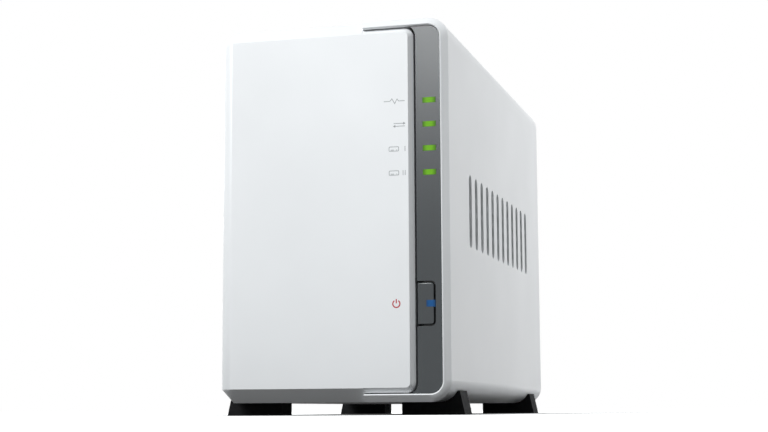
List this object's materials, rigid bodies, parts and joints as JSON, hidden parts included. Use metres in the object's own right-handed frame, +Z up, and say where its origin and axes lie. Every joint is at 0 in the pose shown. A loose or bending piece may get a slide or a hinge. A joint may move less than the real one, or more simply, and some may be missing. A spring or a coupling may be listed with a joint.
{
  "type": "network attached storage",
  "caption": "Upright two-bay desktop storage box with a sliding side cover, front panel, fan, boards and two disk drives on rubber feet.",
  "frame": {"origin": "on the floor, under the middle of the body", "axes": "+X to the right as seen from the front, +Y towards the rear sockets, +Z up; the front panel faces -Y"},
  "size_m": [0.1046, 0.2256, 0.165],
  "materials": {
    "white_shell": "fine satin moulded ABS",
    "grey_strip": "satin",
    "black_plastic": "satin",
    "ivory_plastic": "satin",
    "green_light": "clear window lit green",
    "blue_light": "clear window lit blue",
    "circuit_board": "solder mask",
    "rubber": "matt",
    "zinc_steel": "zinc plated",
    "plated_screw": "nickel plated",
    "cast_aluminium": "die cast",
    "lid_steel": "fine brushed",
    "disk_mirror": "polished",
    "heat_sink_metal": "extruded, anodised",
    "chip_black": "moulded epoxy",
    "ferrite": "sintered",
    "copper": "enamelled winding",
    "bronze": "sintered bronze",
    "ribbon_white": "polyester film"
  },
  "bodies": {
    "chassis": {"right_shell": "white_shell", "front_bezel": "grey_strip", "light_guide": "green_light", "front_board": "circuit_board", "front_leds": "ivory_plastic", "power_switch_body": "black_plastic", "front_board_screws": "plated_screw", "front_cable": "ribbon_white", "front_cable_sockets": "ivory_plastic", "drive_cage": "zinc_steel", "cage_screws": "plated_screw", "drive_1_base": "cast_aluminium", "drive_1_lid": "lid_steel", "drive_1_board": "circuit_board", "drive_1_connector": "black_plastic", "drive_2_base": "cast_aluminium", "drive_2_lid": "lid_steel", "drive_2_board": "circuit_board", "drive_2_connector": "black_plastic", "drive_screws": "plated_screw", "sata_riser": "circuit_board", "riser_drive_sockets": "black_plastic", "riser_slot": "black_plastic", "mainboard": "circuit_board", "mainboard_screws": "plated_screw", "processor": "chip_black", "heat_sink": "heat_sink_metal", "memory_chips": "chip_black", "capacitors": "black_plastic", "inductors": "ferrite", "coin_cell": "zinc_steel", "coin_cell_holder": "black_plastic", "buzzer": "black_plastic", "fan_header": "ivory_plastic", "lan_port": "zinc_steel", "usb_ports": "zinc_steel", "power_inlet": "black_plastic", "reset_switch_body": "black_plastic", "fan_frame": "black_plastic", "fan_stator": "copper", "fan_bearing": "bronze", "fan_screws": "plated_screw", "fan_cable": "black_plastic", "fan_plug": "ivory_plastic", "rear_plate": "zinc_steel", "rear_screws": "plated_screw", "foot_front_right": "rubber", "foot_rear_right": "rubber"},
    "cover": {"left_cover": "white_shell", "foot_front_left": "rubber", "foot_rear_left": "rubber"},
    "power_button": {"power_button": "grey_strip", "power_button_lens": "blue_light", "power_switch_plunger": "ivory_plastic"},
    "reset_button": {"reset_button": "ivory_plastic"},
    "fan_rotor": {"fan_rotor": "black_plastic"},
    "drive_1_disks": {"drive_1_disks": "disk_mirror"},
    "drive_1_arm": {"drive_1_arm": "cast_aluminium"},
    "drive_2_disks": {"drive_2_disks": "disk_mirror"},
    "drive_2_arm": {"drive_2_arm": "cast_aluminium"}
  },
  "joints": [
    {"name": "cover_slide", "type": "slide", "parent": "chassis", "child": "cover", "axis": [0, -1, 0], "range_m": [0, 0.24]},
    {"name": "power_button_press", "type": "slide", "parent": "chassis", "child": "power_button", "axis": [0, 1, 0], "range_m": [0, 0.0005], "stiffness_N_per_m": 3000},
    {"name": "reset_button_press", "type": "slide", "parent": "chassis", "child": "reset_button", "axis": [0, -1, 0], "range_m": [0, 0.0004], "stiffness_N_per_m": 3000},
    {"name": "fan_spin", "type": "hinge", "parent": "chassis", "child": "fan_rotor", "pos_m": [0, 0.096, 0.106], "axis": [0, 1, 0], "continuous": true},
    {"name": "drive_1_spin", "type": "hinge", "parent": "chassis", "child": "drive_1_disks", "pos_m": [-0.029, -0.0422, 0.1038], "axis": [1, 0, 0], "continuous": true},
    {"name": "drive_1_seek", "type": "hinge", "parent": "chassis", "child": "drive_1_arm", "pos_m": [-0.029, 0.0138, 0.1318], "axis": [1, 0, 0], "range_deg": [0, 28]},
    {"name": "drive_2_spin", "type": "hinge", "parent": "chassis", "child": "drive_2_disks", "pos_m": [0.0011, -0.0422, 0.1038], "axis": [1, 0, 0], "continuous": true},
    {"name": "drive_2_seek", "type": "hinge", "parent": "chassis", "child": "drive_2_arm", "pos_m": [0.0011, 0.0138, 0.1318], "axis": [1, 0, 0], "range_deg": [0, 28]}
  ]
}
